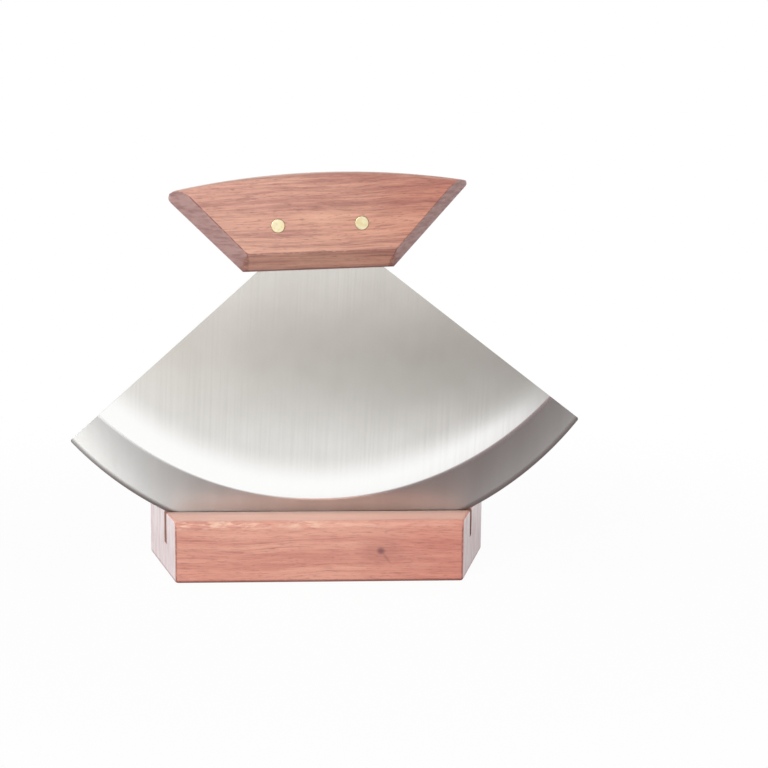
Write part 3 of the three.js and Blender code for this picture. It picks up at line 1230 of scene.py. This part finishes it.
class Studio(Nodes):
    """The nodes of a studio surface, which shows itself in more than one way."""

    def __init__(self, tree):
        super().__init__(tree)
        self.path = self.add("ShaderNodeLightPath").outputs

    def place(self, kind):
        """Where a point lies."""
        return self.add("ShaderNodeTexCoord").outputs[kind]

    def plain(self, kind, colour, strength=None):
        """A shader of one colour."""
        node = self.add(kind)
        node.inputs["Color"].default_value = (*colour, 1)
        if strength is not None:
            node.inputs["Strength"].default_value = strength
        return node

    def either(self, share, first, second):
        """One shader or the other, by a share."""
        node = self.add("ShaderNodeMixShader")
        self.join(share, node.inputs["Fac"])
        self.join(first.outputs[0], node.inputs[1])
        self.join(second.outputs[0], node.inputs[2])
        return node


def mirrored_tone(s):
    """The floor as the steel mirrors it, by its place before the knife, with painted
    light and shade and a painted shadow of the knife.
    """
    place = s.parts(s.place("Object"))
    across, ahead = place["X"], s.times(place["Y"], -1)
    ramp = s.add("ShaderNodeValToRGB")
    ramp.color_ramp.interpolation = "EASE"
    marks = ramp.color_ramp.elements
    while len(marks) < len(MIRRORED_STOPS):
        marks.new(0.5)
    for mark, (distance, tone) in zip(marks, MIRRORED_STOPS):
        mark.position = distance / MIRRORED_REACH
        mark.color = (*tone, 1)
    s.join(s.sum("DIVIDE", ahead, MIRRORED_REACH), ramp.inputs["Fac"])

    aside = s.sum("DIVIDE", across, s.sum("MAXIMUM", ahead, 0.02))
    on_left = s.times(
        s.spread(aside, -0.25, 0.0, PALER_ON_LEFT, 0), s.spread(ahead, 0.2, 0.32)
    )
    on_right = s.times(
        s.spread(aside, 0.0, 0.25, 0, DARKER_ON_RIGHT), s.spread(ahead, 0.3, 0.5)
    )
    level = s.sum("ADD", s.sum("ADD", on_left, on_right), 1.0)
    scaled = s.add("ShaderNodeVectorMath", operation="SCALE")
    s.join(ramp.outputs["Color"], scaled.inputs["Vector"])
    s.join(level, scaled.inputs["Scale"])

    # Painted shadow of the knife, which bends away to the right.
    right = s.sum("MAXIMUM", across, 0.0)
    beyond = s.sum("MULTIPLY_ADD", s.times(right, right), KNIFE_SHADOW_BEND, ahead)
    past_knife_shadow = s.spread(beyond, 0.052, 0.085)
    tone = s.blend(past_knife_shadow, KNIFE_SHADOW_TONE, scaled.outputs["Vector"])
    tone = s.blend(s.spread(ahead, -0.1, -0.03), BEHIND_TONE, tone)
    return s.vector("MINIMUM", tone, WHITE)


def make_floor():
    """White paper that the stand rests on, with the object's shadow."""
    clear_bench()
    bpy.ops.mesh.primitive_plane_add(size=2 * FLOOR_HALF)
    floor = take("floor")
    paper = bpy.data.materials.new("floor_paper")
    paper.use_nodes = True
    s = Studio(paper.node_tree)
    matt = s.plain("ShaderNodeBsdfDiffuse", FLOOR_TONE)
    pale = s.plain("ShaderNodeBsdfDiffuse", FLOOR_PALE)
    white = s.plain("ShaderNodeEmission", WHITE, 1.0)
    # To mirror rays the floor shows painted light, shade and the knife's painted
    # shadow.
    mirrored = s.plain("ShaderNodeEmission", WHITE, 1.0)
    s.join(mirrored_tone(s), mirrored.inputs["Color"])
    far = s.spread(s.size(s.place("Object")), 0.08, 0.3, 0.95, 1.0)
    seen = s.either(far, pale, white)
    under = s.either(s.path["Is Glossy Ray"], matt, mirrored)
    whole = s.either(s.path["Is Camera Ray"], under, seen)
    end = s.add("ShaderNodeOutputMaterial")
    s.join(whole.outputs[0], end.inputs["Surface"])
    floor.data.materials.append(paper)


def make_world():
    """A plain pale room, white to the camera."""
    world = bpy.data.worlds.new("studio")
    bpy.context.scene.world = world
    world.use_nodes = True
    s = Studio(world.node_tree)
    room = s.plain("ShaderNodeBackground", ROOM_TONE, ROOM_LIGHT)
    backdrop = s.plain("ShaderNodeBackground", WHITE, 1.0)
    mirrored = s.plain("ShaderNodeBackground", WHITE)
    back = s.parts(s.place("Generated"))["Y"]
    s.join(s.spread(back, -0.5, 0.3, 0.92, 1.0), mirrored.inputs["Strength"])
    lit = s.either(s.path["Is Glossy Ray"], room, mirrored)
    whole = s.either(s.path["Is Camera Ray"], lit, backdrop)
    end = s.add("ShaderNodeOutputWorld")
    s.join(whole.outputs[0], end.inputs["Surface"])


def make_lamp(name, place, width, height, power, is_mirrored):
    """A soft box that looks at the knife."""
    data = bpy.data.lights.new(name, "AREA")
    data.shape = "RECTANGLE"
    data.size = width
    data.size_y = height
    data.energy = power
    lamp = bpy.data.objects.new(name, data)
    bpy.context.scene.collection.objects.link(lamp)
    lamp.location = place
    aim = Vector(LAMP_TARGET) - Vector(place)
    lamp.rotation_euler = aim.to_track_quat("-Z", "Y").to_euler()
    lamp.visible_glossy = is_mirrored


def make_camera():
    """The photograph's view, from the fit of the object's outlines."""
    forward = Vector(
        (
            math.sin(CAMERA_YAW) * math.cos(CAMERA_PITCH),
            math.cos(CAMERA_YAW) * math.cos(CAMERA_PITCH),
            -math.sin(CAMERA_PITCH),
        )
    )
    right = Vector((math.cos(CAMERA_YAW), -math.sin(CAMERA_YAW), 0))
    up = right.cross(forward)
    x_axis = right * math.cos(CAMERA_ROLL) - up * math.sin(CAMERA_ROLL)
    y_axis = right * math.sin(CAMERA_ROLL) + up * math.cos(CAMERA_ROLL)
    data = bpy.data.cameras.new("camera")
    data.sensor_width = 36
    data.lens = FOCAL_PIXELS * data.sensor_width / FRAME_PIXELS
    data.clip_start = 0.01
    data.clip_end = 20
    camera = bpy.data.objects.new("camera", data)
    bpy.context.scene.collection.objects.link(camera)
    turn = Matrix((x_axis, y_axis, -forward)).transposed()
    camera.matrix_world = Matrix.Translation(CAMERA_PLACE) @ turn.to_4x4()
    bpy.context.scene.camera = camera


make_floor()
make_world()
for lamp_settings in LAMPS:
    make_lamp(*lamp_settings)
make_camera()
bpy.context.scene.view_settings.view_transform = "Standard"
